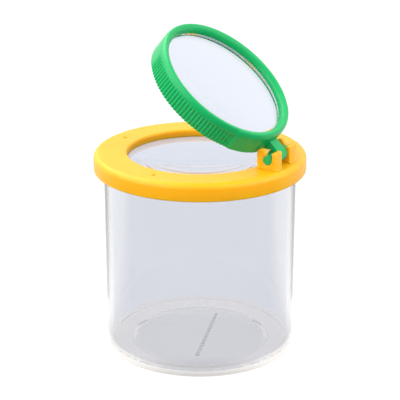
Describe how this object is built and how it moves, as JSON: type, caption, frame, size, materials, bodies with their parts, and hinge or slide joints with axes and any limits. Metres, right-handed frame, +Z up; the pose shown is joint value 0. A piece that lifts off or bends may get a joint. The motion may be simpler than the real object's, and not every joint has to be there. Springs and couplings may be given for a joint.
{
  "type": "bug catcher jar",
  "caption": "Clear round jar with a push-on lid, a magnifying lens set in the lid's window, and a ribbed lens frame that flips up on a snap-in hinge for a closer look.",
  "frame": {"origin": "centre of the cup's underside, on the surface that the jar stands on", "axes": "+Z up along the jar's axis, +X towards the hinge of the lens frame, +Y along the hinge pin"},
  "size_m": [0.07, 0.07, 0.1083],
  "materials": {
    "clear_cup": "clear moulded polystyrene, polished",
    "clear_lens": "clear moulded acrylic, polished",
    "yellow_lid": "moulded polypropylene, satin gloss",
    "green_frame": "moulded ABS, satin gloss"
  },
  "bodies": {
    "jar": {"cup": "clear_cup"},
    "lid": {"lid": "yellow_lid", "lid_lens": "clear_lens"},
    "flip": {"lens_frame": "green_frame", "flip_lens": "clear_lens"}
  },
  "joints": [
    {"name": "lid_lift", "type": "slide", "parent": "jar", "child": "lid", "axis": [0, 0, 1], "range_m": [0, 0.045]},
    {"name": "lens_flip", "type": "hinge", "parent": "lid", "child": "flip", "pos_m": [0.02868, 0, 0.07042], "axis": [0, 1, 0], "range_deg": [-39.5, 100.5]}
  ]
}
